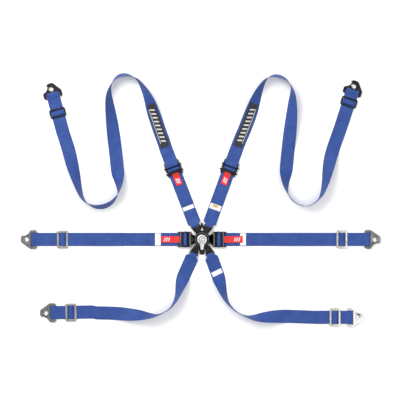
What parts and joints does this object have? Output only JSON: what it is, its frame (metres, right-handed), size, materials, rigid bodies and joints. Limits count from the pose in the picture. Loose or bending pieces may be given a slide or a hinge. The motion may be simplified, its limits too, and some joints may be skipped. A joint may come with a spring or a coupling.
{
  "type": "racing harness",
  "caption": "Racing harness laid flat: rotary cam-lock buckle, shoulder, lap and crotch straps in ribbed blue webbing, adjusters with red pull tabs, slides and sprung snap hooks.",
  "frame": {"origin": "on the buckle's axis, at the flat back face of its pad", "axes": "+Z out of the buckle's front, +X towards the right lap strap's hook, +Y towards the shoulder straps"},
  "size_m": [1.366, 0.9636, 0.05],
  "materials": {
    "webbing_blue": "woven, ribbed lengthwise",
    "webbing_red": "woven",
    "label_white": "smooth woven",
    "patch_black": "woven",
    "pad_black": "matte",
    "buckle_black": "satin",
    "lever_silver": "turned, satin",
    "inner_steel": "plain",
    "tongue_black": "satin",
    "adjuster_black": "satin",
    "lock_bar_steel": "knurled",
    "slide_black": "satin",
    "slide_steel": "bright, worn edges",
    "hook_black": "satin",
    "hook_steel": "dark plated",
    "hook_bright": "bright plated",
    "gate_black": "satin"
  },
  "bodies": {
    "buckle": {"back_pad": "pad_black", "buckle_base": "buckle_black", "guide_plate": "inner_steel", "latch_spring": "inner_steel", "buckle_cover": "buckle_black", "lever_spring": "inner_steel", "pivot_post": "inner_steel", "cover_screws": "inner_steel", "lap_adjuster_left": "adjuster_black", "lap_strap_left": "webbing_blue", "lap_label_left": "label_white", "slide_lap_left": "slide_steel"},
    "lever": {"release_lever": "lever_silver", "lever_cam": "inner_steel"},
    "latch": {"latch_plate": "inner_steel"},
    "lap_right": {"lap_adjuster_right": "adjuster_black", "lap_strap_right": "webbing_blue", "lap_label_right": "label_white", "slide_lap_right": "slide_steel"},
    "shoulder_left": {"shoulder_tongue_left": "tongue_black", "shoulder_lower_strap_left": "webbing_blue", "shoulder_label_left": "label_white", "shoulder_adjuster_left": "adjuster_black", "shoulder_upper_strap_left": "webbing_blue", "shoulder_patch_left": "patch_black", "slide_shoulder_left": "slide_black"},
    "crotch_left": {"crotch_tongue_left": "tongue_black", "crotch_strap_left": "webbing_blue", "slide_crotch_left": "slide_steel"},
    "shoulder_right": {"shoulder_tongue_right": "tongue_black", "shoulder_lower_strap_right": "webbing_blue", "shoulder_label_right": "label_white", "shoulder_adjuster_right": "adjuster_black", "shoulder_upper_strap_right": "webbing_blue", "shoulder_patch_right": "patch_black", "slide_shoulder_right": "slide_black"},
    "crotch_right": {"crotch_tongue_right": "tongue_black", "crotch_strap_right": "webbing_blue", "slide_crotch_right": "slide_steel", "crotch_label_right": "label_white"},
    "shoulder_lock_bar_left": {"shoulder_lock_bar_left": "adjuster_black"},
    "shoulder_pull_tab_left": {"shoulder_pull_tab_left": "webbing_red"},
    "lap_lock_bar_left": {"lap_lock_bar_left": "lock_bar_steel"},
    "lap_pull_tab_left": {"lap_pull_tab_left": "webbing_red"},
    "shoulder_lock_bar_right": {"shoulder_lock_bar_right": "adjuster_black"},
    "shoulder_pull_tab_right": {"shoulder_pull_tab_right": "webbing_red"},
    "lap_lock_bar_right": {"lap_lock_bar_right": "lock_bar_steel"},
    "lap_pull_tab_right": {"lap_pull_tab_right": "webbing_red"},
    "hook_shoulder_left": {"snap_hook_shoulder_left": "hook_black"},
    "gate_shoulder_left": {"hook_gate_shoulder_left": "gate_black"},
    "hook_shoulder_right": {"snap_hook_shoulder_right": "hook_black"},
    "gate_shoulder_right": {"hook_gate_shoulder_right": "gate_black"},
    "hook_lap_left": {"snap_hook_lap_left": "hook_steel"},
    "gate_lap_left": {"hook_gate_lap_left": "gate_black"},
    "hook_lap_right": {"snap_hook_lap_right": "hook_steel"},
    "gate_lap_right": {"hook_gate_lap_right": "gate_black"},
    "hook_crotch_left": {"snap_hook_crotch_left": "hook_steel"},
    "gate_crotch_left": {"hook_gate_crotch_left": "gate_black"},
    "hook_crotch_right": {"snap_hook_crotch_right": "hook_bright"},
    "gate_crotch_right": {"hook_gate_crotch_right": "gate_black"}
  },
  "joints": [
    {"name": "lever_turn", "type": "hinge", "parent": "buckle", "child": "lever", "pos_m": [0, 0, 0.0238], "axis": [0, 0, 1], "range_deg": [0, 60], "stiffness_Nm_per_rad": 0.05, "springref_deg": -22.92},
    {"name": "latch_lift", "type": "slide", "parent": "buckle", "child": "latch", "axis": [0, 0, 1], "range_m": [0, 0.005], "deforming": ["latch_spring"]},
    {"name": "shoulder_left_release", "type": "slide", "parent": "buckle", "child": "shoulder_left", "axis": [-0.5, 0.866, 0], "range_m": [0, 0.012]},
    {"name": "shoulder_right_release", "type": "slide", "parent": "buckle", "child": "shoulder_right", "axis": [0.5, 0.866, 0], "range_m": [0, 0.012]},
    {"name": "lap_right_release", "type": "slide", "parent": "buckle", "child": "lap_right", "axis": [1, 0, 0], "range_m": [0, 0.012]},
    {"name": "crotch_left_release", "type": "slide", "parent": "buckle", "child": "crotch_left", "axis": [-0.5299, -0.848, 0], "range_m": [0, 0.012]},
    {"name": "crotch_right_release", "type": "slide", "parent": "buckle", "child": "crotch_right", "axis": [0.515, -0.8572, 0], "range_m": [0, 0.012]},
    {"name": "shoulder_lock_slide_left", "type": "slide", "parent": "shoulder_left", "child": "shoulder_lock_bar_left", "axis": [0.3584, -0.9336, 0], "range_m": [0, 0.0025]},
    {"name": "shoulder_tab_lift_left", "type": "hinge", "parent": "shoulder_left", "child": "shoulder_pull_tab_left", "pos_m": [-0.10168, 0.25102, 0.00705], "axis": [-0.9336, -0.3584, 0], "range_deg": [0, 42]},
    {"name": "lap_lock_slide_left", "type": "slide", "parent": "buckle", "child": "lap_lock_bar_left", "axis": [-1, 0, 0], "range_m": [0, 0.0025]},
    {"name": "lap_tab_lift_left", "type": "hinge", "parent": "buckle", "child": "lap_pull_tab_left", "pos_m": [-0.084, 0, 0.00705], "axis": [0, 1, 0], "range_deg": [0, 42]},
    {"name": "shoulder_lock_slide_right", "type": "slide", "parent": "shoulder_right", "child": "shoulder_lock_bar_right", "axis": [-0.342, -0.9397, 0], "range_m": [0, 0.0025]},
    {"name": "shoulder_tab_lift_right", "type": "hinge", "parent": "shoulder_right", "child": "shoulder_pull_tab_right", "pos_m": [0.09852, 0.25327, 0.00705], "axis": [-0.9397, 0.342, 0], "range_deg": [0, 42]},
    {"name": "lap_lock_slide_right", "type": "slide", "parent": "lap_right", "child": "lap_lock_bar_right", "axis": [1, 0, 0], "range_m": [0, 0.0025]},
    {"name": "lap_tab_lift_right", "type": "hinge", "parent": "lap_right", "child": "lap_pull_tab_right", "pos_m": [0.084, 0, 0.00705], "axis": [0, -1, 0], "range_deg": [0, 42]},
    {"name": "hook_swivel_shoulder_left", "type": "hinge", "parent": "shoulder_left", "child": "hook_shoulder_left", "pos_m": [-0.56777, 0.5538, 0.0048], "axis": [0.9659, 0.2588, 0], "range_deg": [0, 80]},
    {"name": "gate_shoulder_left_open", "type": "hinge", "parent": "hook_shoulder_left", "child": "gate_shoulder_left", "pos_m": [-0.58723, 0.56301, 0.0048], "axis": [0, 0, -1], "range_deg": [0, 30], "stiffness_Nm_per_rad": 0.02, "springref_deg": -28.65},
    {"name": "hook_swivel_shoulder_right", "type": "hinge", "parent": "shoulder_right", "child": "hook_shoulder_right", "pos_m": [0.57203, 0.56418, 0.0048], "axis": [0.9511, -0.309, 0], "range_deg": [0, 80]},
    {"name": "gate_shoulder_right_open", "type": "hinge", "parent": "hook_shoulder_right", "child": "gate_shoulder_right", "pos_m": [0.56073, 0.5825, 0.0048], "axis": [0, 0, -1], "range_deg": [0, 30], "stiffness_Nm_per_rad": 0.02, "springref_deg": -28.65},
    {"name": "hook_swivel_lap_left", "type": "hinge", "parent": "buckle", "child": "hook_lap_left", "pos_m": [-0.6444, 0, 0.0048], "axis": [0, 1, 0], "range_deg": [0, 80]},
    {"name": "gate_lap_left_open", "type": "hinge", "parent": "hook_lap_left", "child": "gate_lap_left", "pos_m": [-0.66183, 0.01641, 0.0048], "axis": [0, 0, 1], "range_deg": [0, 30], "stiffness_Nm_per_rad": 0.02, "springref_deg": -28.65},
    {"name": "hook_swivel_lap_right", "type": "hinge", "parent": "lap_right", "child": "hook_lap_right", "pos_m": [0.6344, 0, 0.0048], "axis": [0, -1, 0], "range_deg": [0, 80]},
    {"name": "gate_lap_right_open", "type": "hinge", "parent": "hook_lap_right", "child": "gate_lap_right", "pos_m": [0.65183, -0.01641, 0.0048], "axis": [0, 0, 1], "range_deg": [0, 30], "stiffness_Nm_per_rad": 0.02, "springref_deg": -28.65},
    {"name": "hook_swivel_crotch_left", "type": "hinge", "parent": "crotch_left", "child": "hook_crotch_left", "pos_m": [-0.57139, -0.27828, 0.0048], "axis": [-0.0175, 0.9998, 0], "range_deg": [0, 80]},
    {"name": "gate_crotch_left_open", "type": "hinge", "parent": "hook_crotch_left", "child": "gate_crotch_left", "pos_m": [-0.58853, -0.29499, 0.0048], "axis": [0, 0, -1], "range_deg": [0, 30], "stiffness_Nm_per_rad": 0.02, "springref_deg": -28.65},
    {"name": "hook_swivel_crotch_right", "type": "hinge", "parent": "crotch_right", "child": "hook_crotch_right", "pos_m": [0.5684, -0.296, 0.0048], "axis": [0, -1, 0], "range_deg": [0, 80]},
    {"name": "gate_crotch_right_open", "type": "hinge", "parent": "hook_crotch_right", "child": "gate_crotch_right", "pos_m": [0.58583, -0.27959, 0.0048], "axis": [0, 0, -1], "range_deg": [0, 30], "stiffness_Nm_per_rad": 0.02, "springref_deg": -28.65}
  ],
  "couplings": [
    {"joint": "lever_turn", "follows": "latch_lift", "rad_per_m": 209.44},
    {"joint": "shoulder_left_release", "follows": "latch_lift", "ratio": 2.4},
    {"joint": "shoulder_right_release", "follows": "latch_lift", "ratio": 2.4},
    {"joint": "lap_right_release", "follows": "latch_lift", "ratio": 2.4},
    {"joint": "crotch_left_release", "follows": "latch_lift", "ratio": 2.4},
    {"joint": "crotch_right_release", "follows": "latch_lift", "ratio": 2.4}
  ]
}
